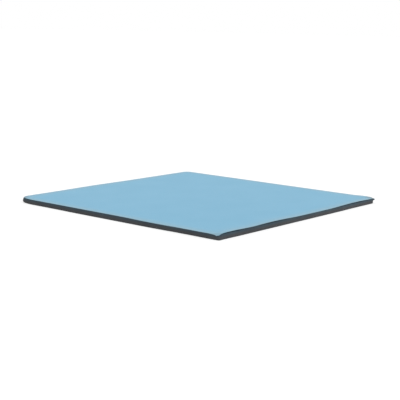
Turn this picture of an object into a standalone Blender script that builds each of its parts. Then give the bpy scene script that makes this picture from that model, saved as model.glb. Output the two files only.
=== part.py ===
"""Square sheet of thermal pad, made for Blender 4.5.

A soft slab of filled silicone carries a thin protective film on its upper face.
The sheet lies flat. The origin is the centre of the slab's lower face, +Z is up,
and the sides run along X and Y. All sizes are in metres.
"""

import math
from dataclasses import dataclass

import bmesh
import bpy

# Silicone slab
PAD_SIDE = 0.1000
PAD_THICKNESS = 0.0019
PAD_CORNER_RADIUS = 0.0024
PAD_WORN_CORNER_RADIUS = 0.0042
PAD_LOWER_RIM_RADIUS = 0.00025
PAD_UPPER_RIM_RADIUS = 0.00008

# Protective film
FILM_THICKNESS = 0.00010
FILM_OVERHANG = 0.00005
FILM_SEAT_CLEARANCE = 0.00003
FILM_SIDE = PAD_SIDE + 2 * FILM_OVERHANG
FILM_UNDERSIDE_Z = PAD_THICKNESS + FILM_SEAT_CLEARANCE

# The film's two sharp tips, which stand out past the slab's round corners and droop:
# the front one at the (+X, -Y) corner and the right one at the (+X, +Y) corner
FILM_FRONT_TIP_RADIUS = 0.0008
FILM_FRONT_TIP_DROOP = 0.00032
FILM_RIGHT_TIP_RADIUS = 0.0004
FILM_RIGHT_TIP_DROOP = 0.00050

# Waves where the film has come away from the slab: three along its +X edge, from the
# (+X, -Y) corner to the (+X, +Y) corner, and one along its +Y edge by the (+X, +Y) corner
FIRST_WAVE_FROM_CORNER = 0.0075
FIRST_WAVE_LENGTH = 0.0270
FIRST_WAVE_HEIGHT = 0.00033
SECOND_WAVE_FROM_CORNER = 0.0302
SECOND_WAVE_LENGTH = 0.0390
SECOND_WAVE_HEIGHT = 0.00029
THIRD_WAVE_FROM_CORNER = 0.0153
THIRD_WAVE_LENGTH = 0.0380
THIRD_WAVE_HEIGHT = 0.00032
CORNER_WAVE_FROM_CORNER = 0.0050
CORNER_WAVE_LENGTH = 0.0120
CORNER_WAVE_HEIGHT = 0.00018
LONG_WAVE_REACH = 0.0090
CORNER_WAVE_REACH = 0.0060

# Faceting
CORNER_FACETS = 8
LOWER_RIM_FACETS = 3
UPPER_RIM_FACETS = 2
FILM_CELLS = 28
FILM_CELL_GROWTH = 1.39

WELD_DISTANCE = 0.000001

COLLECTION_NAME = "thermal_pad_sheet"


@dataclass(frozen=True)
class Corner:
    """One corner: the signs of its X and Y, its two radii and the droop of the film's tip."""

    sign_x: int
    sign_y: int
    pad_radius: float
    film_radius: float
    film_droop: float

    def past_the_pad(self, x, y):
        """How far a point lies outside the slab's round corner, or 0 inside it."""
        middle = PAD_SIDE / 2 - self.pad_radius
        across = x * self.sign_x - middle
        along = y * self.sign_y - middle
        if across <= 0 or along <= 0:
            return 0.0
        return max(0.0, math.hypot(across, along) - self.pad_radius)

    def tip_past_the_pad(self):
        """How far the film's own tip lies outside the slab's round corner."""
        reach = FILM_SIDE / 2 - self.film_radius * (1 - math.sqrt(0.5))
        return self.past_the_pad(reach * self.sign_x, reach * self.sign_y)


@dataclass(frozen=True)
class Wave:
    """One wave of the film's +X edge (or its +Y edge): its middle, size and reach."""

    middle: float
    length: float
    height: float
    reach: float
    on_x_edge: bool

    def lift_at(self, x, y):
        """Height of the wave above the flat film."""
        position, out = (y, x) if self.on_x_edge else (x, y)
        along = (position - self.middle) / (self.length / 2)
        inward = (FILM_SIDE / 2 - out) / self.reach
        if abs(along) >= 1 or inward >= 1:
            return 0.0
        return self.height * math.cos(along * math.pi / 2) ** 2 * (1 - inward) ** 2


CORNERS = (
    Corner(1, -1, PAD_CORNER_RADIUS, FILM_FRONT_TIP_RADIUS, FILM_FRONT_TIP_DROOP),
    Corner(1, 1, PAD_CORNER_RADIUS, FILM_RIGHT_TIP_RADIUS, FILM_RIGHT_TIP_DROOP),
    Corner(-1, 1, PAD_CORNER_RADIUS, PAD_CORNER_RADIUS + FILM_OVERHANG, 0.0),
    Corner(-1, -1, PAD_WORN_CORNER_RADIUS, PAD_WORN_CORNER_RADIUS + FILM_OVERHANG, 0.0),
)

WAVES = (
    Wave(
        middle=FIRST_WAVE_FROM_CORNER - PAD_SIDE / 2,
        length=FIRST_WAVE_LENGTH,
        height=FIRST_WAVE_HEIGHT,
        reach=LONG_WAVE_REACH,
        on_x_edge=True,
    ),
    Wave(
        middle=SECOND_WAVE_FROM_CORNER - PAD_SIDE / 2,
        length=SECOND_WAVE_LENGTH,
        height=SECOND_WAVE_HEIGHT,
        reach=LONG_WAVE_REACH,
        on_x_edge=True,
    ),
    Wave(
        middle=PAD_SIDE / 2 - THIRD_WAVE_FROM_CORNER,
        length=THIRD_WAVE_LENGTH,
        height=THIRD_WAVE_HEIGHT,
        reach=LONG_WAVE_REACH,
        on_x_edge=True,
    ),
    Wave(
        middle=PAD_SIDE / 2 - CORNER_WAVE_FROM_CORNER,
        length=CORNER_WAVE_LENGTH,
        height=CORNER_WAVE_HEIGHT,
        reach=CORNER_WAVE_REACH,
        on_x_edge=False,
    ),
)


def clear_scene():
    """Remove what the start-up file holds."""
    for obj in list(bpy.data.objects):
        bpy.data.objects.remove(obj, do_unlink=True)


def new_collection(name):
    """Make a collection in the scene."""
    collection = bpy.data.collections.new(name)
    bpy.context.scene.collection.children.link(collection)
    return collection


def new_material(name, colour, roughness):
    """Make a plain Principled material."""
    material = bpy.data.materials.new(name)
    material.use_nodes = True
    shader = material.node_tree.nodes["Principled BSDF"]
    shader.inputs["Base Color"].default_value = (*colour, 1.0)
    shader.inputs["Roughness"].default_value = roughness
    shader.inputs["Metallic"].default_value = 0.0
    return material


def new_object(name, shape, material, collection):
    """Turn a bmesh into a named object of the sheet."""
    mesh = bpy.data.meshes.new(name)
    shape.to_mesh(mesh)
    shape.free()
    mesh.materials.append(material)
    mesh.shade_smooth()
    mesh.set_sharp_from_angle(angle=math.radians(30))
    obj = bpy.data.objects.new(name, mesh)
    collection.objects.link(obj)
    return obj


def round_edges(shape, edges, radius, facets):
    """Round some edges of a bmesh to a radius."""
    bmesh.ops.bevel(
        shape,
        geom=edges,
        offset=radius,
        offset_type="OFFSET",
        segments=facets,
        profile=0.5,
        affect="EDGES",
        clamp_overlap=True,
    )


def corner_edge(shape, corner):
    """The upright edge of the slab at one corner."""
    for edge in shape.edges:
        first, second = edge.verts
        upright = abs(first.co.z - second.co.z) > PAD_THICKNESS / 2
        middle = (first.co + second.co) / 2
        if upright and middle.x * corner.sign_x > 0 and middle.y * corner.sign_y > 0:
            return edge
    raise ValueError("the slab has no upright edge at this corner")


def rim_edges(shape, direction):
    """The edges round the slab's upper face (direction 1) or lower face (-1)."""
    caps = [face for face in shape.faces if face.normal.z * direction > 0.99]
    return list({edge for face in caps for edge in face.edges})


def build_pad(collection):
    """The silicone slab: a box with round corners and softened rims."""
    shape = bmesh.new()
    bmesh.ops.create_cube(shape, size=1.0)
    bmesh.ops.scale(shape, vec=(PAD_SIDE, PAD_SIDE, PAD_THICKNESS), verts=shape.verts)
    bmesh.ops.translate(shape, vec=(0, 0, PAD_THICKNESS / 2), verts=shape.verts)
    for corner in CORNERS:
        edges = [corner_edge(shape, corner)]
        round_edges(shape, edges, corner.pad_radius, CORNER_FACETS)
    shape.normal_update()
    round_edges(shape, rim_edges(shape, -1), PAD_LOWER_RIM_RADIUS, LOWER_RIM_FACETS)
    shape.normal_update()
    round_edges(shape, rim_edges(shape, 1), PAD_UPPER_RIM_RADIUS, UPPER_RIM_FACETS)
    bmesh.ops.remove_doubles(shape, verts=shape.verts, dist=WELD_DISTANCE)
    material = new_material("silicone", (0.062, 0.066, 0.069), 0.80)
    return new_object("silicone_pad", shape, material, collection)


def graded(step):
    """Place a grid line from -1 to 1, each cell larger than its neighbour nearer the edge."""
    half_cells = FILM_CELLS / 2
    from_edge = FILM_CELL_GROWTH ** (half_cells * (1 - abs(step))) - 1
    return math.copysign(1 - from_edge / (FILM_CELL_GROWTH**half_cells - 1), step)


def rounded_corner(x, y):
    """Draw a point of the film's square grid in to its round corners."""
    for corner in CORNERS:
        radius = corner.film_radius
        middle = FILM_SIDE / 2 - radius
        across = (x * corner.sign_x - middle) / radius
        along = (y * corner.sign_y - middle) / radius
        if across > 0 and along > 0:
            round_across = across * math.sqrt(1 - along * along / 2)
            round_along = along * math.sqrt(1 - across * across / 2)
            x = corner.sign_x * (middle + radius * round_across)
            y = corner.sign_y * (middle + radius * round_along)
    return x, y


def film_height(x, y):
    """Height of the film's underside: flat, with its edge waves and drooping tips."""
    height = FILM_UNDERSIDE_Z + sum(wave.lift_at(x, y) for wave in WAVES)
    for corner in CORNERS:
        tip = corner.tip_past_the_pad()
        if tip > 0:
            height -= corner.film_droop * (corner.past_the_pad(x, y) / tip) ** 2
    return height


def build_film(collection):
    """The protective film: an open sheet with Solidify, laid over the slab."""
    shape = bmesh.new()
    bmesh.ops.create_grid(shape, x_segments=FILM_CELLS, y_segments=FILM_CELLS, size=1.0)
    for vert in shape.verts:
        x = graded(vert.co.x) * FILM_SIDE / 2
        y = graded(vert.co.y) * FILM_SIDE / 2
        x, y = rounded_corner(x, y)
        vert.co = (x, y, film_height(x, y))
    material = new_material("liner_film", (0.27, 0.50, 0.66), 0.40)
    film = new_object("liner_film", shape, material, collection)
    thickness = film.modifiers.new("thickness", "SOLIDIFY")
    thickness.thickness = FILM_THICKNESS
    thickness.offset = 1.0
    thickness.use_even_offset = True
    return film


def main():
    """Build the sheet."""
    clear_scene()
    sheet = new_collection(COLLECTION_NAME)
    build_pad(sheet)
    build_film(sheet)


main()
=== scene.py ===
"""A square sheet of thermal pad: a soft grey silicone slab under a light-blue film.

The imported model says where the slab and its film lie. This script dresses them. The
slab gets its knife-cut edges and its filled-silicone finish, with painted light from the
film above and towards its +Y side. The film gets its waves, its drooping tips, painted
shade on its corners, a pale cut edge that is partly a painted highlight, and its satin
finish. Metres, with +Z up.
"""

import logging
import math
from dataclasses import dataclass, field
from enum import Enum

import bpy
import numpy as np
from mathutils import Matrix, Vector, noise


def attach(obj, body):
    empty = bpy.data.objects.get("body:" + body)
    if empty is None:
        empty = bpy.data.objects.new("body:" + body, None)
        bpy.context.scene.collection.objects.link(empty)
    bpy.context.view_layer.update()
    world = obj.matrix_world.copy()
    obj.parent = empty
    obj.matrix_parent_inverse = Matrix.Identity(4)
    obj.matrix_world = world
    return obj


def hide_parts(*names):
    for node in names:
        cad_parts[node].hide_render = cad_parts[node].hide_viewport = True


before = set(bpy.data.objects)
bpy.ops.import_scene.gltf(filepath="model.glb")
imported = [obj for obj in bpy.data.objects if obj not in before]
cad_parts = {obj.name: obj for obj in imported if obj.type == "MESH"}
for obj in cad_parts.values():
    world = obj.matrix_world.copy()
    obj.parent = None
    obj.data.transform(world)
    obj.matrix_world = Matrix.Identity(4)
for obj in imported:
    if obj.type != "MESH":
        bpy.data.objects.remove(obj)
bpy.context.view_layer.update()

MILLIMETRE = 0.001

# Radius of a corner that an inset has used up, so that nothing is divided by 0
SMALLEST_RADIUS = 0.001 * MILLIMETRE

# Noise values between which a finish's patches and its fine roughness come in
PATCH_NOISE = (0.35, 0.65)
FINE_NOISE = (0.3, 0.7)

logging.basicConfig(level=logging.INFO, format="%(message)s")
log = logging.getLogger("thermal_pad_sheet")

Array = np.ndarray


def mm(*lengths: float) -> tuple[float, ...]:
    """Turn lengths in millimetres into metres.

    Args:
        *lengths: The lengths in millimetres.

    Returns:
        The same lengths in metres.
    """
    return tuple(length * MILLIMETRE for length in lengths)


class Corner(Enum):
    """The sheet's corners, each as the signs of its X and Y."""

    FRONT = (1, -1)
    RIGHT = (1, 1)
    BACK = (-1, 1)
    LEFT = (-1, -1)


class Edge(Enum):
    """The sheet's edges, each as the X and Y of the way it faces."""

    PLUS_X = (1, 0)
    MINUS_X = (-1, 0)
    PLUS_Y = (0, 1)
    MINUS_Y = (0, -1)

    def along_and_out(self, x: Array, y: Array) -> tuple[Array, Array]:
        """Each point's place along the edge, and its distance out from the centre."""
        facing_x, facing_y = self.value
        return (y if facing_x else x), x * facing_x + y * facing_y

    def move_out(self, x: Array, y: Array, distance: Array) -> tuple[Array, Array]:
        """Move points outward, square to the edge, each by its own distance."""
        facing_x, facing_y = self.value
        return x + distance * facing_x, y + distance * facing_y


def smooth(values: Array, start: float, end: float) -> Array:
    """Rise smoothly from 0 to 1.

    Args:
        values: The values that the rise follows.
        start: The value at which it starts.
        end: The value at which it ends, which may be the lower one.

    Returns:
        One share for each value.
    """
    share = np.clip((values - start) / (end - start), 0, 1)
    return share**2 * (3 - 2 * share)


@dataclass(frozen=True)
class Stretch:
    """A stretch of one edge, with soft ends.

    Attributes:
        edge: The edge that it is on.
        start: Where along the edge it is first whole.
        end: Where along the edge it is last whole.
        fade: How far past those places it dies away.
    """

    edge: Edge
    start: float
    end: float
    fade: float

    def share(self, x: Array, y: Array) -> Array:
        """How much of the stretch's effect each point gets.

        Args:
            x: X of each point.
            y: Y of each point.

        Returns:
            One share for each point, 0 to 1.
        """
        along, out = self.edge.along_and_out(x, y)
        begun = smooth(along, self.start - self.fade, self.start)
        return np.where(out > 0, begun * smooth(along, self.end + self.fade, self.end), 0.0)


def from_corner(x: Array, y: Array, corner: Corner, half: float) -> Array:
    """How far points lie from a square corner, seen from above.

    Args:
        x: X of each point.
        y: Y of each point.
        corner: The corner.
        half: Half of the square's side.

    Returns:
        One distance for each point.
    """
    sign_x, sign_y = corner.value
    return np.hypot(x - sign_x * half, y - sign_y * half)


@dataclass(frozen=True)
class Outline:
    """A square outline with a radius of its own at each corner.

    Attributes:
        half: Half of the square's side.
        radii: The radius at each corner.
    """

    half: float
    radii: dict[Corner, float]

    def place(self, u: Array, v: Array, inset: Array | float) -> tuple[Array, Array]:
        """Map points of the unit square on to the outline, drawn in by an inset.

        A corner whose radius is less than the inset comes out square.

        Args:
            u: First coordinate, from -1 to 1.
            v: Second coordinate, from -1 to 1.
            inset: How far inside the outline the square's border lands.

        Returns:
            The X and Y of each point.
        """
        x = u * (self.half - inset)
        y = v * (self.half - inset)
        for corner, radius in self.radii.items():
            sign_x, sign_y = corner.value
            middle = self.half - radius
            reach = np.maximum(radius - inset, SMALLEST_RADIUS)
            across = (x * sign_x - middle) / reach
            along = (y * sign_y - middle) / reach
            inside = (across > 0) & (along > 0)
            across = np.clip(across, 0, 1)
            along = np.clip(along, 0, 1)
            round_x = middle + reach * across * np.sqrt(1 - along**2 / 2)
            round_y = middle + reach * along * np.sqrt(1 - across**2 / 2)
            x = np.where(inside, sign_x * round_x, x)
            y = np.where(inside, sign_y * round_y, y)
        return x, y

    def past_corner(self, x: Array, y: Array, corner: Corner) -> Array:
        """How far points lie outside one round corner, or 0 inside it.

        Args:
            x: X of each point.
            y: Y of each point.
            corner: The corner that is looked at.

        Returns:
            The distance of each point from the corner's arc.
        """
        sign_x, sign_y = corner.value
        radius = self.radii[corner]
        across = np.maximum(x * sign_x - (self.half - radius), 0)
        along = np.maximum(y * sign_y - (self.half - radius), 0)
        both = (across > 0) & (along > 0)
        return np.where(both, np.maximum(np.hypot(across, along) - radius, 0), 0.0)


@dataclass(frozen=True)
class GradedLines:
    """Grid lines across the sheet, close together at its edges.

    Attributes:
        first_cell: Width of the cell at the edge.
        growth: How much wider each cell is than the one outside it.
        widest_cell: The width that the cells stop growing at.
    """

    first_cell: float
    growth: float
    widest_cell: float

    def unit(self, half: float) -> Array:
        """The lines' places from -1 to 1 across a square.

        Args:
            half: Half of the square's side.

        Returns:
            The places, in rising order, with both ends and the middle.
        """
        from_edge = [0.0]
        cell = self.first_cell
        while from_edge[-1] < half:
            from_edge.append(from_edge[-1] + cell)
            cell = min(cell * self.growth, self.widest_cell)
        to_middle = np.array(from_edge) / from_edge[-1]
        return np.concatenate([to_middle - 1, (1 - to_middle)[::-1][1:]])


@dataclass(frozen=True)
class Ripple:
    """Smooth unevenness of a surface.

    Attributes:
        height: The most that it rises or falls.
        length: The usual distance from one rise to the next.
        seed: Where in the noise it is read, so that no two ripples are alike.
    """

    height: float
    length: float
    seed: float

    def at(self, points: Array) -> Array:
        """The ripple's height at some points.

        Args:
            points: One point a row.

        Returns:
            One height for each point.
        """
        shift = Vector((self.seed, -self.seed, self.seed / 2))
        values = [noise.noise(Vector(point) / self.length + shift) for point in points]
        return self.height * np.array(values)


class ClosedSheet:
    """A closed mesh made of an upper and a lower grid, joined by rings of side faces.

    The rings may have more points than the grids' borders, so that a flat sheet can
    have a finely shaped edge.

    Attributes:
        u: First unit coordinate of the grid's points, one a row.
        v: Second unit coordinate of the grid's points.
        border: The grid's border points, counter-clockwise seen from above.
        quads: The grid's faces, each as the numbers of its four points.
        ring_split: How many ring points there are for each border point.
        ring_u: First unit coordinate of a ring's points.
        ring_v: Second unit coordinate of a ring's points.
    """

    def __init__(self, lines: Array, ring_split: int = 1) -> None:
        """Lay out the grid and the rings.

        Args:
            lines: The grid lines' places from -1 to 1.
            ring_split: How many ring points there are for each border point.
        """
        count = len(lines)
        v, u = np.meshgrid(lines, lines, indexing="ij")
        self.u = u.ravel()
        self.v = v.ravel()
        index = np.arange(count**2).reshape(count, count)
        self.border = np.concatenate(
            [index[0, :-1], index[:-1, -1], index[-1, :0:-1], index[:0:-1, 0]]
        )
        self.quads = np.stack(
            [index[:-1, :-1], index[:-1, 1:], index[1:, 1:], index[1:, :-1]], axis=-1
        ).reshape(-1, 4)
        self.ring_split = ring_split
        share = np.arange(ring_split) / ring_split
        self.ring_u = self.split(self.u[self.border], share)
        self.ring_v = self.split(self.v[self.border], share)

    @staticmethod
    def split(values: Array, share: Array) -> Array:
        """Split each step round the border into smaller ones, which start at some shares of it."""
        following = np.roll(values, -1)
        return (values[:, None] + (following - values)[:, None] * share).ravel()

    def mesh(self, name: str, lower: Array, rings: list[Array], upper: Array) -> bpy.types.Mesh:
        """Join the grids and rings in one closed mesh.

        Args:
            name: The mesh's name.
            lower: Points of the lower grid.
            rings: Points of each ring between the grids, from the lowest up.
            upper: Points of the upper grid.

        Returns:
            The mesh, shaded smooth.
        """
        ring_size = len(self.ring_u)
        upper_start = len(lower) + len(rings) * ring_size
        starts = [len(lower) + number * ring_size for number in range(len(rings))]
        loops = [start + np.arange(ring_size) for start in starts]
        faces = self.quads[:, ::-1].tolist() + (self.quads + upper_start).tolist()
        for below, above in zip(loops, loops[1:]):
            sides = [below, np.roll(below, -1), np.roll(above, -1), above]
            faces += np.stack(sides, axis=-1).tolist()
        faces += self.fans(loops[0], self.border, upward=True)
        faces += self.fans(loops[-1], self.border + upper_start, upward=False)
        mesh = bpy.data.meshes.new(name)
        mesh.from_pydata(np.concatenate([lower, *rings, upper]).tolist(), [], faces)
        mesh.update()
        mesh.shade_smooth()
        return mesh

    def fans(self, ring: Array, border: Array, upward: bool) -> list[list[int]]:
        """Faces that join a ring to a grid's border.

        Args:
            ring: Numbers of the ring's points.
            border: Numbers of the border's points.
            upward: Whether the ring lies above the grid.

        Returns:
            One face for each step round the border.
        """
        faces = []
        for number, (first, second) in enumerate(zip(border, np.roll(border, -1))):
            start = number * self.ring_split
            steps = [ring[(start + step) % len(ring)] for step in range(self.ring_split + 1)]
            if upward:
                faces.append([int(point) for point in (first, second, *reversed(steps))])
            else:
                faces.append([int(point) for point in (*steps, second, first)])
        return faces


class Graph:
    """A material's node tree, with short calls that add and link its nodes."""

    def __init__(self, name: str) -> None:
        """Start a material with an empty tree and its output.

        Args:
            name: The material's name.
        """
        self.material = bpy.data.materials.new(name)
        self.material.use_nodes = True
        self.tree = self.material.node_tree
        self.tree.nodes.clear()
        self.shader = self.add("ShaderNodeBsdfPrincipled")
        output = self.add("ShaderNodeOutputMaterial")
        self.tree.links.new(self.shader.outputs["BSDF"], output.inputs["Surface"])

    def add(self, kind: str, inputs: dict | None = None, **settings: object) -> bpy.types.Node:
        """Add a node.

        Args:
            kind: Blender's name for the node.
            inputs: Values or sockets for its inputs, by name or number.
            **settings: The node's own settings.

        Returns:
            The node.
        """
        node = self.tree.nodes.new(kind)
        for name, value in settings.items():
            setattr(node, name, value)
        for name, value in (inputs or {}).items():
            self.feed(node.inputs[name], value)
        return node

    def feed(self, target: bpy.types.NodeSocket, value: object) -> None:
        """Give a node's input its value.

        Args:
            target: The input.
            value: A plain value, or the socket that is linked to the input.
        """
        if isinstance(value, bpy.types.NodeSocket):
            self.tree.links.new(value, target)
        else:
            target.default_value = value

    def set(self, name: str, value: object) -> None:
        """Give one of the shader's inputs its value."""
        self.feed(self.shader.inputs[name], value)

    def places(self, stretch: tuple[float, float, float] = (1, 1, 1)) -> bpy.types.NodeSocket:
        """The object's own coordinates, stretched along X, Y and Z."""
        inputs = {0: self.add("ShaderNodeTexCoord").outputs["Object"], 1: stretch}
        return self.add("ShaderNodeVectorMath", inputs, operation="MULTIPLY").outputs["Vector"]

    def clouds(
        self,
        length: float,
        detail: float = 3.0,
        stretch: tuple[float, float, float] = (1, 1, 1),
    ) -> bpy.types.NodeSocket:
        """Soft noise of about 0 to 1, in clouds of some length."""
        inputs = {"Vector": self.places(stretch), "Scale": 1 / length, "Detail": detail}
        return self.add("ShaderNodeTexNoise", inputs).outputs["Fac"]

    def spread(
        self, value: bpy.types.NodeSocket, low: float, high: float, start: float, end: float
    ) -> bpy.types.NodeSocket:
        """Map a value from the range low to high on to the range start to end."""
        inputs = {"Value": value, "From Min": low, "From Max": high, "To Min": start, "To Max": end}
        return self.add("ShaderNodeMapRange", inputs).outputs["Result"]

    def mark(self, name: str) -> bpy.types.NodeSocket:
        """Read one of the marks that a mesh stores for its finish."""
        return self.add("ShaderNodeAttribute", attribute_name=name).outputs["Fac"]

    def blend(
        self,
        share: bpy.types.NodeSocket,
        first: object,
        second: object,
        mode: str = "MIX",
    ) -> bpy.types.NodeSocket:
        """Mix two colours.

        Args:
            share: The socket with the second colour's share.
            first: The first colour, as a tuple or a socket.
            second: The second colour, as a tuple or a socket.
            mode: Blender's name for how they mix.

        Returns:
            The socket with the mixed colour.
        """
        node = self.add("ShaderNodeMix", {"Factor": share}, data_type="RGBA", blend_type=mode)
        colour_inputs = {socket.name: socket for socket in node.inputs if socket.type == "RGBA"}
        for name, colour in (("A", first), ("B", second)):
            plain = not isinstance(colour, bpy.types.NodeSocket)
            self.feed(colour_inputs[name], (*colour, 1.0) if plain else colour)
        return next(socket for socket in node.outputs if socket.type == "RGBA")

    def bump(
        self,
        height: bpy.types.NodeSocket,
        depth: float,
        under: bpy.types.NodeSocket | None = None,
    ) -> bpy.types.NodeSocket:
        """Fine relief that is only shaded.

        Args:
            height: The socket with the relief, 0 to 1.
            depth: The relief's depth.
            under: The socket of the relief that this one is laid over.

        Returns:
            The socket with the normal.
        """
        inputs = {"Height": height, "Distance": depth, "Strength": 1.0}
        if under is not None:
            inputs["Normal"] = under
        return self.add("ShaderNodeBump", inputs).outputs["Normal"]


@dataclass(frozen=True)
class SiliconeFinish:
    """Soft silicone filled with ceramic powder: matte, dark grey, faintly speckled.

    Attributes:
        grey: Colour of the filled silicone.
        pale_grey: Colour of its lighter patches.
        speck_grey: Colour of the powder grains at the surface.
        painted_film_light: Painted blue light from the film, on the cut face's upper part.
        painted_film_light_range: Heights between which that painted light comes in.
        painted_plus_y_light: Painted light that makes the silicone paler towards +Y.
        painted_plus_y_light_range: Places along Y between which that painted light comes in.
        patch_length: Size of the lighter patches.
        grain_spacing: Distance between grains.
        grain_share: Radius of a grain as a share of the spacing.
        grain_core: Share of that radius that has the grain's full colour.
        drag_length: Width of the marks that the knife drags down a cut face.
        drag_depth: Depth of those marks.
        drag_squeeze: How fast those marks change with height, as a share of that along the face.
        powder_length: Size of the powder's fine roughness.
        powder_depth: Depth of the powder's fine roughness.
        roughness: Lowest and highest roughness.
        gloss: Specular level of the silicone.
    """

    grey: tuple[float, float, float] = (0.034, 0.0365, 0.0395)
    pale_grey: tuple[float, float, float] = (0.042, 0.0445, 0.0475)
    speck_grey: tuple[float, float, float] = (0.085, 0.088, 0.091)
    painted_film_light: tuple[float, float, float] = (0.71, 1.14, 1.40)
    painted_film_light_range: tuple[float, float] = mm(0.85, 1.65)
    painted_plus_y_light: tuple[float, float, float] = (1.15, 1.13, 1.13)
    painted_plus_y_light_range: tuple[float, float] = mm(-12.0, 35.0)
    patch_length: float = 5.0 * MILLIMETRE
    grain_spacing: float = 0.45 * MILLIMETRE
    grain_share: float = 0.15
    grain_core: float = 0.6
    drag_length: float = 0.35 * MILLIMETRE
    drag_depth: float = 0.02 * MILLIMETRE
    drag_squeeze: float = 0.12
    powder_length: float = 0.12 * MILLIMETRE
    powder_depth: float = 0.010 * MILLIMETRE
    roughness: tuple[float, float] = (0.74, 0.88)
    gloss: float = 0.28

    def material(self) -> bpy.types.Material:
        """Build the material.

        Returns:
            The silicone's material.
        """
        graph = Graph("filled_silicone")
        patches = graph.clouds(self.patch_length, detail=4)
        body = graph.blend(graph.spread(patches, *PATCH_NOISE, 0, 1), self.grey, self.pale_grey)
        grains = graph.add(
            "ShaderNodeTexVoronoi",
            {"Vector": graph.places(), "Scale": 1 / self.grain_spacing},
        ).outputs["Distance"]
        full = self.grain_share * self.grain_core
        specks = graph.spread(grains, self.grain_share, full, 0, 1)
        speckled = graph.blend(specks, body, self.speck_grey)
        place = graph.add("ShaderNodeSeparateXYZ", {0: graph.places()})
        # Painted light: the silicone grows paler towards +Y, where the light falls more strongly.
        painted_plus_y_share = graph.spread(place.outputs["Y"], *self.painted_plus_y_light_range, 0, 1)
        plus_y_lit = graph.blend(painted_plus_y_share, speckled, self.painted_plus_y_light, "MULTIPLY")
        # Painted light: the cut face turns bluish towards the film, as if lit by it.
        painted_film_light_share = graph.spread(place.outputs["Z"], *self.painted_film_light_range, 0, 1)
        graph.set("Base Color", graph.blend(painted_film_light_share, plus_y_lit, self.painted_film_light, "MULTIPLY"))
        drag = graph.clouds(self.drag_length, detail=2, stretch=(1, 1, self.drag_squeeze))
        powder = graph.clouds(self.powder_length, detail=2)
        relief = graph.bump(drag, self.drag_depth)
        graph.set("Normal", graph.bump(powder, self.powder_depth, relief))
        graph.set("Roughness", graph.spread(powder, *FINE_NOISE, *self.roughness))
        graph.set("Specular IOR Level", self.gloss)
        return graph.material


@dataclass(frozen=True)
class FilmFinish:
    """Pigmented protective film: satin light blue, paler where it doesn't touch the slab.

    Attributes:
        blue: Colour of the film where it clings to the slab.
        deep_blue: Colour of its slightly denser patches.
        loose_blue: Colour of the film where it has come away.
        whitened_highlit_cut_blue: Colour of its cut edge: partly stress-whitening, partly a
        painted highlight.
        painted_corner_shade_grey: Grey of the painted shade on its corners.
        cut_width: Width of the cut edge's colour.
        patch_length: Size of the denser patches.
        emboss_length: Size of the film's fine grain.
        emboss_depth: Depth of the film's fine grain.
        roughness: Lowest and highest roughness.
        gloss: Specular level of the film.
    """

    blue: tuple[float, float, float] = (0.1615, 0.418, 0.597)
    deep_blue: tuple[float, float, float] = (0.1515, 0.405, 0.584)
    loose_blue: tuple[float, float, float] = (0.213, 0.406, 0.522)
    whitened_highlit_cut_blue: tuple[float, float, float] = (0.26, 0.40, 0.47)
    painted_corner_shade_grey: tuple[float, float, float] = (0.120, 0.126, 0.132)
    cut_width: float = 0.06 * MILLIMETRE
    patch_length: float = 14.0 * MILLIMETRE
    emboss_length: float = 0.30 * MILLIMETRE
    emboss_depth: float = 0.008 * MILLIMETRE
    roughness: tuple[float, float] = (0.46, 0.56)
    gloss: float = 0.32

    def material(self) -> bpy.types.Material:
        """Build the material.

        Returns:
            The film's material.
        """
        graph = Graph("protective_film")
        patches = graph.clouds(self.patch_length, detail=5)
        body = graph.blend(graph.spread(patches, *PATCH_NOISE, 0, 1), self.blue, self.deep_blue)
        loosened = graph.blend(graph.mark("loose"), body, self.loose_blue)
        # The cut edge's pale colour is partly stress-whitening and partly a painted highlight.
        cut = graph.spread(graph.mark("from_edge"), 0, self.cut_width, 1, 0)
        edged = graph.blend(cut, loosened, self.whitened_highlit_cut_blue)
        # Painted shade: the film's corners are mixed towards grey.
        graph.set("Base Color", graph.blend(graph.mark("painted_corner_shade"), edged, self.painted_corner_shade_grey))
        emboss = graph.clouds(self.emboss_length, detail=1)
        graph.set("Normal", graph.bump(emboss, self.emboss_depth))
        graph.set("Roughness", graph.spread(emboss, *FINE_NOISE, *self.roughness))
        graph.set("Specular IOR Level", self.gloss)
        return graph.material


@dataclass(frozen=True)
class BacklitFinish:
    """Matte white acrylic lit from below, for the floor.

    Attributes:
        white: Colour of the acrylic.
        glow: Brightness of the light that comes through it.
        roughness: Its roughness.
    """

    white: tuple[float, float, float] = (0.40, 0.40, 0.40)
    glow: float = 0.64
    roughness: float = 0.9

    def material(self) -> bpy.types.Material:
        """Build the material.

        Returns:
            The floor's material.
        """
        graph = Graph("backlit_acrylic")
        graph.set("Base Color", (*self.white, 1.0))
        graph.set("Emission Color", (1.0, 1.0, 1.0, 1.0))
        graph.set("Emission Strength", self.glow)
        graph.set("Roughness", self.roughness)
        graph.set("Specular IOR Level", 0.0)
        return graph.material


def new_piece(mesh: bpy.types.Mesh, material: bpy.types.Material) -> bpy.types.Object:
    """Put a mesh in the scene as an object of the same name.

    Args:
        mesh: The object's mesh.
        material: The object's only material.

    Returns:
        The object.
    """
    mesh.materials.append(material)
    piece = bpy.data.objects.new(mesh.name, mesh)
    bpy.context.scene.collection.objects.link(piece)
    return piece


@dataclass(frozen=True)
class CornerRadii:
    """How round one corner of the slab is.

    Attributes:
        corner: The corner.
        foot: Its radius at the foot.
        top: Its radius at the upper rim.
    """

    corner: Corner
    foot: float
    top: float

    def at(self, share: float) -> float:
        """The radius at some share of the slab's height."""
        return self.foot + (self.top - self.foot) * share


@dataclass(frozen=True)
class Slant:
    """A stretch of cut face that the knife cut out of square.

    Attributes:
        stretch: Where it is.
        depth: How far its foot stands out past its upper rim, or in if it is below 0.
    """

    stretch: Stretch
    depth: float


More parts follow.
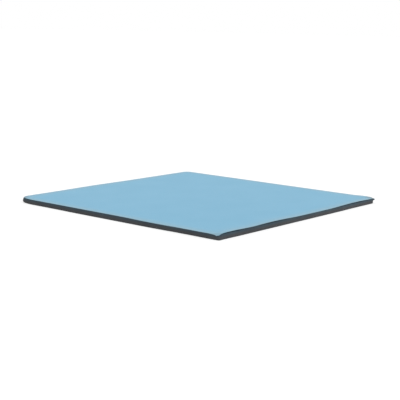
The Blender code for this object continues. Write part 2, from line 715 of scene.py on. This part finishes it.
@dataclass(frozen=True)
class Lip:
    """A thin lip of silicone that the knife drew out under the film's right tip.

    Attributes:
        length: How far it stands out.
        height: The height of its edge.
        depth: How thick it is at its root, above and below that height.
        width: Distances from the square corner between which it comes in.
    """

    length: float = 0.75 * MILLIMETRE
    height: float = 1.55 * MILLIMETRE
    depth: float = 0.24 * MILLIMETRE
    width: tuple[float, float] = mm(1.9, 1.1)


@dataclass
class SiliconeSlab:
    """The soft slab, cut square with a knife.

    Attributes:
        side: Length of its sides.
        thickness: Height from its lower face to its upper face.
        corner_radii: Radius of each corner at its foot and at its upper rim.
        lower_rim: Radius of the rim round the lower face.
        upper_rim: Radius of the rim round the upper face.
        bulge: How far the middle of a cut face stands out.
        wear_depth: How far the left corner's foot is worn back.
        wear_taper: How fast the wear dies away with height.
        wear_reach: How far from the left corner the wear runs.
        pressed_depth: How far the right corner is pressed down.
        pressed_reach: Distances from the right corner between which that comes in.
        lip: The lip under the film's right tip.
        band: Width of the flat band between a face's grid and its rim.
        rim_steps: Rings on each rim.
        wall_steps: Rings between the rims.
        ring_split: How many ring points there are for each border point.
        drag_stretch: How slowly the knife's unevenness changes with height.
        lines: Grid lines of the flat faces.
        finish: The silicone's finish.
        cut_ripples: The knife's unevenness.
        slants: The stretches that are cut out of square.
        slant_reach: How far round a corner a slanted face runs.
    """

    side: float = 100.0 * MILLIMETRE
    thickness: float = 1.9 * MILLIMETRE
    corner_radii: tuple[CornerRadii, ...] = (
        CornerRadii(Corner.FRONT, *mm(0.8, 2.4)),
        CornerRadii(Corner.RIGHT, *mm(2.6, 2.6)),
        CornerRadii(Corner.BACK, *mm(2.4, 2.4)),
        CornerRadii(Corner.LEFT, *mm(3.6, 4.6)),
    )
    lower_rim: float = 0.12 * MILLIMETRE
    upper_rim: float = 0.08 * MILLIMETRE
    bulge: float = 0.06 * MILLIMETRE
    wear_depth: float = 1.15 * MILLIMETRE
    wear_taper: float = 7.0
    wear_reach: float = 7.0 * MILLIMETRE
    pressed_depth: float = 0.20 * MILLIMETRE
    pressed_reach: tuple[float, float] = mm(2.9, 0.7)
    lip: Lip = Lip()
    band: float = 0.15 * MILLIMETRE
    rim_steps: int = 4
    wall_steps: int = 14
    ring_split: int = 3
    drag_stretch: float = 0.2
    lines: GradedLines = GradedLines(0.2 * MILLIMETRE, 1.15, 1.0 * MILLIMETRE)
    finish: SiliconeFinish = field(default_factory=SiliconeFinish)
    cut_ripples: tuple[Ripple, ...] = (
        Ripple(*mm(0.09, 17.0), 3.1),
        Ripple(*mm(0.035, 3.6), 7.7),
        Ripple(*mm(0.014, 1.1), 9.2),
    )
    slants: tuple[Slant, ...] = (
        Slant(Stretch(Edge.PLUS_X, *mm(-38.0, 22.0, 12.0)), 0.24 * MILLIMETRE),
        Slant(Stretch(Edge.MINUS_Y, *mm(-18.0, 17.0, 12.0)), 0.24 * MILLIMETRE),
        Slant(Stretch(Edge.MINUS_Y, *mm(31.0, 50.0, 4.0)), -0.19 * MILLIMETRE),
        Slant(Stretch(Edge.PLUS_X, *mm(-50.0, -49.0, 2.5)), 0.18 * MILLIMETRE),
    )
    slant_reach: float = 2.4 * MILLIMETRE

    def outline(self, height: float) -> Outline:
        """The slab's outline at some height, seen from above.

        Args:
            height: The height.

        Returns:
            The outline.
        """
        share = height / self.thickness
        radii = {rounding.corner: rounding.at(share) for rounding in self.corner_radii}
        return Outline(self.side / 2, radii)

    def profile(self) -> list[tuple[float, float]]:
        """The cut face's section.

        Returns:
            Each ring's inset and height, from the lowest up.
        """
        rings = []
        for step in range(self.rim_steps + 1):
            turn = step / self.rim_steps * math.pi / 2
            inset = self.lower_rim * (1 - math.sin(turn))
            rings.append((inset, self.lower_rim * (1 - math.cos(turn))))
        wall = self.thickness - self.lower_rim - self.upper_rim
        for step in range(1, self.wall_steps):
            share = step / self.wall_steps
            inset = -self.bulge * math.sin(share * math.pi)
            rings.append((inset, self.lower_rim + wall * share))
        for step in range(self.rim_steps + 1):
            turn = step / self.rim_steps * math.pi / 2
            inset = self.upper_rim * (1 - math.cos(turn))
            rings.append((inset, self.thickness - self.upper_rim * (1 - math.sin(turn))))
        return rings

    def wear(self, x: Array, y: Array, height: float) -> Array:
        """How far the worn left corner draws the slab in at some height.

        Args:
            x: X of each point.
            y: Y of each point.
            height: The height.

        Returns:
            One inset for each point.
        """
        away = from_corner(x, y, Corner.LEFT, self.side / 2)
        near = smooth(away, self.wear_reach, 0.0)
        return self.wear_depth * near * (1 - height / self.thickness) ** self.wear_taper

    def pressed(self, x: Array, y: Array) -> Array:
        """How far the right corner's upper face is pressed down at each point."""
        away = from_corner(x, y, Corner.RIGHT, self.side / 2)
        return self.pressed_depth * smooth(away, *self.pressed_reach)

    def drawn_out(self, x: Array, y: Array, height: float) -> Array:
        """How far the lip stands out at some height.

        Args:
            x: X of each point.
            y: Y of each point.
            height: The height.

        Returns:
            One distance for each point.
        """
        away = from_corner(x, y, Corner.RIGHT, self.side / 2)
        level = min(abs(height - self.lip.height) / self.lip.depth, 1.0)
        return self.lip.length * math.sqrt(1 - level**2) * smooth(away, *self.lip.width)

    def ring(self, sheet: ClosedSheet, inset: float, height: float) -> Array:
        """One ring of the cut face, with the knife's unevenness.

        Args:
            sheet: The grid that the ring goes round.
            inset: How far inside the outline the even ring would lie.
            height: The ring's height.

        Returns:
            The ring's points.
        """
        outline = self.outline(height)
        x, y = outline.place(sheet.ring_u, sheet.ring_v, inset)
        level = np.full_like(x, height)
        points = np.stack([x, y, level * self.drag_stretch], axis=-1)
        uneven = sum(ripple.at(points) for ripple in self.cut_ripples)
        inset = inset + np.abs(uneven) + self.wear(x, y, height) - self.drawn_out(x, y, height)
        x, y = self.slanted(*outline.place(sheet.ring_u, sheet.ring_v, inset), height)
        pressed = self.pressed(x, y) * height / self.thickness
        return np.stack([x, y, level - pressed], axis=-1)

    def slanted(self, x: Array, y: Array, height: float) -> tuple[Array, Array]:
        """Move points out or in with the faces that are cut out of square.

        Args:
            x: X of each point.
            y: Y of each point.
            height: The points' height.

        Returns:
            The X and Y of each moved point.
        """
        below_top = 1 - height / self.thickness
        for slant in self.slants:
            edge = slant.stretch.edge
            foot = slant.depth * slant.stretch.share(x, y) * self.beside(edge, x, y)
            x, y = edge.move_out(x, y, foot * below_top)
        return x, y

    def beside(self, edge: Edge, x: Array, y: Array) -> Array:
        """Which points lie near an edge: 1 by the edge and 0 further in."""
        out = edge.along_and_out(x, y)[1]
        return smooth(out, self.side / 2 - 2 * self.slant_reach, self.side / 2 - self.slant_reach)

    def face(self, sheet: ClosedSheet, rim: float, height: float) -> Array:
        """One flat face of the slab, which ends where its rim starts.

        Args:
            sheet: The grid that the face is made on.
            rim: The rim's radius.
            height: The face's height.

        Returns:
            The face's points.
        """
        inset = rim + self.band
        outline = self.outline(height)
        x, y = outline.place(sheet.u, sheet.v, inset)
        inset = inset + self.wear(x, y, height)
        x, y = self.slanted(*outline.place(sheet.u, sheet.v, inset), height)
        level = height - self.pressed(x, y) * height / self.thickness
        return np.stack([x, y, level], axis=-1)

    def build(self) -> bpy.types.Object:
        """Model the slab and put it in the CAD slab's place.

        Returns:
            The slab's object.
        """
        sheet = ClosedSheet(self.lines.unit(self.side / 2), self.ring_split)
        lower = self.face(sheet, self.lower_rim, 0.0)
        rings = [self.ring(sheet, inset, height) for inset, height in self.profile()]
        upper = self.face(sheet, self.upper_rim, self.thickness)
        mesh = sheet.mesh("pad_slab", lower, rings, upper)
        piece = new_piece(mesh, self.finish.material())
        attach(piece, "root")
        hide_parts("silicone_pad")
        return piece


@dataclass(frozen=True)
class Wave:
    """One wave of the film, where it has come away from the slab along an edge.

    Attributes:
        edge: The edge that it runs along.
        middle: Where along the edge it is highest.
        length: Its length along the edge.
        height: Its height at the edge.
        reach: How far in from the edge it runs.
    """

    edge: Edge
    middle: float
    length: float
    height: float
    reach: float

    def lift(self, x: Array, y: Array, half: float) -> Array:
        """The wave's height at some points of the film.

        Args:
            x: X of each point.
            y: Y of each point.
            half: Half of the film's side.

        Returns:
            One height for each point.
        """
        position, out = self.edge.along_and_out(x, y)
        along = np.clip((position - self.middle) / (self.length / 2), -1, 1)
        inward = np.clip((half - out) / self.reach, 0, 1)
        return self.height * np.cos(along * math.pi / 2) ** 2 * (1 - inward) ** 2


@dataclass(frozen=True)
class Tip:
    """A sharp corner of the film, which stands out past the slab's round corner.

    Attributes:
        corner: The corner that it is at.
        radius: Its own radius.
        droop: How far it hangs down.
        bend: How it hangs: 1 is straight down from the slab's rim, 2 is an even curve.
    """

    corner: Corner
    radius: float
    droop: float
    bend: float


@dataclass(frozen=True)
class Fold:
    """A stretch of the film's border that hangs over the slab's rim, or stops short of it.

    Attributes:
        stretch: Where it is.
        reach: How far it reaches past the rest of the film, or stops short if it is below 0.
        drop: How far its cut edge hangs down.
        width: Width of the border that it bends.
    """

    stretch: Stretch
    reach: float
    drop: float
    width: float = 0.13 * MILLIMETRE


@dataclass(frozen=True)
class PaintedCornerShade:
    """Painted shade that greys one corner of the film.

    Attributes:
        corner: The corner that it is at.
        strength: How well it covers the film, 0 to 1.
        fade: Distances from the square corner between which it comes in.
    """

    corner: Corner
    strength: float
    fade: tuple[float, float]


@dataclass
class ProtectiveFilm:
    """The thin film on the slab's upper face.

    Attributes:
        slab: The slab that it lies on.
        thickness: The film's gauge.
        overhang: How far its edges stand out past the slab.
        clearance: Height of its underside above the slab.
        back_radius: Radius of its back corner.
        left_radius: Radius of its left corner.
        tips: Its two sharp corners.
        waves: Its waves, from the front corner counter-clockwise.
        grip: Distances from its front corner between which it comes away from the slab.
        edge_rounding: How far the cut edge is rounded.
        edge_steps: Rings on its cut edge.
        slope_step: How far to each side its slope is measured.
        loose_border: Width of the border where it clings less and less.
        full_lift: The lift at which it no longer clings at all.
        painted_corner_shades: The painted shade on its corners.
        lines: Grid lines of the film.
        finish: The film's finish.
        ripples: The film's faint unevenness.
        folds: The stretches of its border that hang over or stop short.
    """

    slab: SiliconeSlab
    thickness: float = 0.10 * MILLIMETRE
    overhang: float = 0.05 * MILLIMETRE
    clearance: float = 0.03 * MILLIMETRE
    back_radius: float = 2.45 * MILLIMETRE
    left_radius: float = 5.1 * MILLIMETRE
    tips: tuple[Tip, ...] = (
        Tip(Corner.FRONT, *mm(0.8, 0.28), 1.6),
        Tip(Corner.RIGHT, *mm(0.4, 0.27), 1.2),
    )
    waves: tuple[Wave, ...] = (
        Wave(Edge.PLUS_X, *mm(-42.5, 27.0, 0.33, 9.0)),
        Wave(Edge.PLUS_X, *mm(-19.8, 39.0, 0.29, 9.0)),
        Wave(Edge.PLUS_X, *mm(34.7, 38.0, 0.32, 9.0)),
        Wave(Edge.PLUS_Y, *mm(45.0, 12.0, 0.18, 6.0)),
        Wave(Edge.MINUS_X, *mm(-9.0, 50.0, 0.12, 9.0)),
    )
    grip: tuple[float, float] = mm(0.2, 3.2)
    edge_rounding: float = 0.02 * MILLIMETRE
    edge_steps: int = 5
    slope_step: float = 0.02 * MILLIMETRE
    loose_border: float = 4.5 * MILLIMETRE
    full_lift: float = 0.60 * MILLIMETRE
    # Painted shade at the film's corners, strongest at its right tip.
    painted_corner_shades: tuple[PaintedCornerShade, ...] = (
        PaintedCornerShade(Corner.FRONT, 0.22, mm(3.2, 1.4)),
        PaintedCornerShade(Corner.RIGHT, 0.65, mm(5.0, 1.2)),
        PaintedCornerShade(Corner.LEFT, 0.40, mm(5.0, 2.4)),
    )
    lines: GradedLines = GradedLines(0.06 * MILLIMETRE, 1.12, 0.8 * MILLIMETRE)
    finish: FilmFinish = field(default_factory=FilmFinish)
    ripples: tuple[Ripple, ...] = (
        Ripple(*mm(0.020, 21.0), 11.3),
        Ripple(*mm(0.010, 7.0), 15.9),
    )
    folds: tuple[Fold, ...] = (
        Fold(Stretch(Edge.MINUS_Y, *mm(14.0, 26.0, 8.0)), *mm(0.06, 0.06)),
        Fold(Stretch(Edge.MINUS_Y, *mm(18.0, 50.0, 8.0)), *mm(0.10, 0.06)),
        Fold(Stretch(Edge.MINUS_Y, *mm(48.5, 50.0, 3.5)), *mm(0.10, 0.10)),
        Fold(Stretch(Edge.PLUS_X, *mm(-50.0, -48.0, 5.0)), *mm(-0.10, 0.0, 1.0)),
        Fold(Stretch(Edge.MINUS_Y, *mm(-50.0, -46.0, 5.0)), *mm(-0.30, 0.0, 1.5)),
    )

    def half(self) -> float:
        """Half of the film's side."""
        return self.slab.side / 2 + self.overhang

    def outline(self) -> Outline:
        """The film's outline, seen from above.

        Returns:
            The outline.
        """
        radii = {Corner.BACK: self.back_radius, Corner.LEFT: self.left_radius}
        radii |= {tip.corner: tip.radius for tip in self.tips}
        return Outline(self.half(), radii)

    def lift(self, x: Array, y: Array) -> Array:
        """How far the film has come away from the slab at each point."""
        loose = smooth(from_corner(x, y, Corner.FRONT, self.half()), *self.grip)
        return loose * sum(wave.lift(x, y, self.half()) for wave in self.waves)

    def folded(self, fold: Fold, x: Array, y: Array) -> Array:
        """How much of a fold each point gets: all at the cut edge, none inside the border."""
        out = fold.stretch.edge.along_and_out(x, y)[1]
        return fold.stretch.share(x, y) * smooth(out, self.half() - fold.width, self.half())

    def underside(self, x: Array, y: Array) -> Array:
        """Height of the film's underside.

        Args:
            x: X of each point.
            y: Y of each point.

        Returns:
            One height for each point.
        """
        height = self.slab.thickness + self.clearance + self.lift(x, y) - self.slab.pressed(x, y)
        for fold in self.folds:
            height = height - fold.drop * self.folded(fold, x, y)
        slab_outline = self.slab.outline(self.slab.thickness)
        for tip in self.tips:
            reach = self.half() - tip.radius * (1 - math.sqrt(0.5))
            end = [np.array([reach * sign]) for sign in tip.corner.value]
            end_past = slab_outline.past_corner(*end, tip.corner)[0]
            past = slab_outline.past_corner(x, y, tip.corner)
            height = height - tip.droop * (past / end_past) ** tip.bend
        return height

    def points(self, x: Array, y: Array, above: Array | float) -> Array:
        """Points of the film at some height above its underside.

        Args:
            x: X of each point of the underside.
            y: Y of each point of the underside.
            above: Distance above the underside, square to it.

        Returns:
            One point a row.
        """
        step = self.slope_step
        slope_x = (self.underside(x + step, y) - self.underside(x - step, y)) / (2 * step)
        slope_y = (self.underside(x, y + step) - self.underside(x, y - step)) / (2 * step)
        normal = np.stack([-slope_x, -slope_y, np.ones_like(x)], axis=-1)
        normal /= np.linalg.norm(normal, axis=-1, keepdims=True)
        flat = np.stack([x, y, np.zeros_like(x)], axis=-1)
        uneven = sum(np.abs(ripple.at(flat)) for ripple in self.ripples)
        base = np.stack([x, y, self.underside(x, y) + uneven], axis=-1)
        for fold in self.folds:
            reach = fold.reach * self.folded(fold, x, y)
            base[:, 0], base[:, 1] = fold.stretch.edge.move_out(base[:, 0], base[:, 1], reach)
        return base + normal * np.reshape(above, (-1, 1))

    def build(self) -> bpy.types.Object:
        """Model the film and put it in the CAD film's place.

        Returns:
            The film's object.
        """
        outline = self.outline()
        sheet = ClosedSheet(self.lines.unit(outline.half))
        places = outline.place(sheet.u, sheet.v, self.edge_rounding)
        lower = self.points(*places, 0.0)
        rings = []
        for step in range(1, self.edge_steps):
            turn = step / self.edge_steps * math.pi
            inset = self.edge_rounding * (1 - math.sin(turn))
            above = self.thickness * (1 - math.cos(turn)) / 2
            rings.append(self.points(*outline.place(sheet.ring_u, sheet.ring_v, inset), above))
        upper = self.points(*places, self.thickness)
        mesh = sheet.mesh("film_sheet", lower, rings, upper)
        self.mark(mesh)
        piece = new_piece(mesh, self.finish.material())
        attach(piece, "root")
        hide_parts("liner_film")
        return piece

    def mark(self, mesh: bpy.types.Mesh) -> None:
        """Store where the film is cut and loose, and its corners' painted shade, for its finish.

        Args:
            mesh: The film's mesh.
        """
        places = np.array([vertex.co[:2] for vertex in mesh.vertices])
        x, y = places[:, 0], places[:, 1]
        from_edge = self.from_edge(x, y)
        border = np.clip(1 - from_edge / self.loose_border, 0, 1)
        loose = np.clip(np.maximum(self.lift(x, y) / self.full_lift, border), 0, 1)
        # Painted shade at the corners, for the finish's grey.
        painted_corner_shade = np.zeros_like(x)
        for spot in self.painted_corner_shades:
            away = from_corner(x, y, spot.corner, self.half())
            painted_corner_shade = np.maximum(painted_corner_shade, spot.strength * smooth(away, *spot.fade))
        for name, values in (("from_edge", from_edge), ("loose", loose), ("painted_corner_shade", painted_corner_shade)):
            attribute = mesh.attributes.new(name, "FLOAT", "POINT")
            attribute.data.foreach_set("value", values.astype(np.float32))

    def from_edge(self, x: Array, y: Array) -> Array:
        """How far points lie inside the film's cut edge.

        Args:
            x: X of each point.
            y: Y of each point.

        Returns:
            One distance for each point.
        """
        outline = self.outline()
        distance = outline.half - np.maximum(np.abs(x), np.abs(y))
        for corner, radius in outline.radii.items():
            sign_x, sign_y = corner.value
            across = x * sign_x - (outline.half - radius)
            along = y * sign_y - (outline.half - radius)
            in_corner = (across > 0) & (along > 0)
            distance = np.where(in_corner, radius - np.hypot(across, along), distance)
        return np.maximum(distance, 0)


@dataclass(frozen=True)
class SideLight:
    """A wide soft light a long way off to one side, low down.

    Attributes:
        azimuth: Where it stands, as a turn about the vertical from +X.
        elevation: Its height, as an angle above the floor.
        spread: How wide it looks from the sheet.
        strength: Its strength on a face that is square to it.
    """

    azimuth: float = math.radians(-4)
    elevation: float = math.radians(13)
    spread: float = math.radians(40)
    strength: float = 1.25

    def build(self) -> bpy.types.Object:
        """Make the light, aimed at the sheet.

        Returns:
            The light's object.
        """
        data = bpy.data.lights.new("side_light", "SUN")
        data.energy = self.strength
        data.angle = self.spread
        light = bpy.data.objects.new("side_light", data)
        flat = math.cos(self.elevation)
        towards = Vector(
            (flat * math.cos(self.azimuth), flat * math.sin(self.azimuth), math.sin(self.elevation))
        )
        light.location = towards
        light.rotation_euler = towards.to_track_quat("Z", "Y").to_euler()
        bpy.context.scene.collection.objects.link(light)
        return light


@dataclass(frozen=True)
class Studio:
    """A backlit white floor under an even white sky, with one soft light at the side.

    Attributes:
        floor_side: Length of the floor's sides.
        floor_drop: How far the floor lies under the sheet.
        sky: Brightness of the sky.
        light: The light at the side.
        acrylic: The floor's finish.
    """

    floor_side: float = 12.0
    floor_drop: float = 0.01 * MILLIMETRE
    sky: float = 1.0
    light: SideLight = field(default_factory=SideLight)
    acrylic: BacklitFinish = field(default_factory=BacklitFinish)

    def build(self) -> None:
        """Make the floor, the sky and the light."""
        half = self.floor_side / 2
        mesh = bpy.data.meshes.new("floor")
        corners = [(-half, -half), (half, -half), (half, half), (-half, half)]
        points = [(x, y, -self.floor_drop) for x, y in corners]
        mesh.from_pydata(points, [], [(0, 1, 2, 3)])
        new_piece(mesh, self.acrylic.material())
        world = bpy.data.worlds.new("white_sky")
        world.use_nodes = True
        background = world.node_tree.nodes["Background"]
        background.inputs["Color"].default_value = (1.0, 1.0, 1.0, 1.0)
        background.inputs["Strength"].default_value = self.sky
        bpy.context.scene.world = world
        self.light.build()
        bpy.context.scene.view_settings.view_transform = "Standard"


@dataclass(frozen=True)
class PhotoCamera:
    """The camera that looks at the sheet as the photograph does.

    Attributes:
        azimuth: Its turn about the vertical, where 0 looks along +Y.
        pitch: How far it looks down.
        roll: Its turn about its own axis.
        distance: Its distance from the sheet, along its axis.
        right: How far right of its axis the sheet's centre lies.
        below: How far below its axis the sheet's centre lies.
        lens: Its focal length in millimetres.
        sensor: Width of its sensor in millimetres.
        clip: The nearest and furthest distance that it sees.
    """

    azimuth: float = math.radians(39.93)
    pitch: float = math.radians(9.98)
    roll: float = math.radians(1.01)
    distance: float = 395.3 * MILLIMETRE
    right: float = -0.10 * MILLIMETRE
    below: float = 1.00 * MILLIMETRE
    lens: float = 90.0
    sensor: float = 36.0
    clip: tuple[float, float] = (0.01, 50.0)

    def build(self) -> bpy.types.Object:
        """Make the camera and set it as the scene's own.

        Returns:
            The camera's object.
        """
        turn = (
            Matrix.Rotation(self.azimuth, 3, "Z")
            @ Matrix.Rotation(math.pi / 2 - self.pitch, 3, "X")
            @ Matrix.Rotation(self.roll, 3, "Z")
        )
        data = bpy.data.cameras.new("photo_camera")
        data.lens = self.lens
        data.sensor_width = self.sensor
        data.clip_start, data.clip_end = self.clip
        camera = bpy.data.objects.new("photo_camera", data)
        camera.location = turn @ Vector((-self.right, self.below, self.distance))
        camera.rotation_euler = turn.to_euler()
        bpy.context.scene.collection.objects.link(camera)
        bpy.context.scene.camera = camera
        return camera


def report(piece: bpy.types.Object) -> None:
    """Log one piece's name and size.

    Args:
        piece: The piece that was built.
    """
    sizes = " x ".join(f"{size / MILLIMETRE:.2f}" for size in piece.dimensions)
    log.info("%s: %s mm, %d faces", piece.name, sizes, len(piece.data.polygons))


def main() -> None:
    """Build the sheet's two pieces, the studio and the camera."""
    slab = SiliconeSlab()
    report(slab.build())
    report(ProtectiveFilm(slab).build())
    Studio().build()
    PhotoCamera().build()


if __name__ == "__main__":
    main()
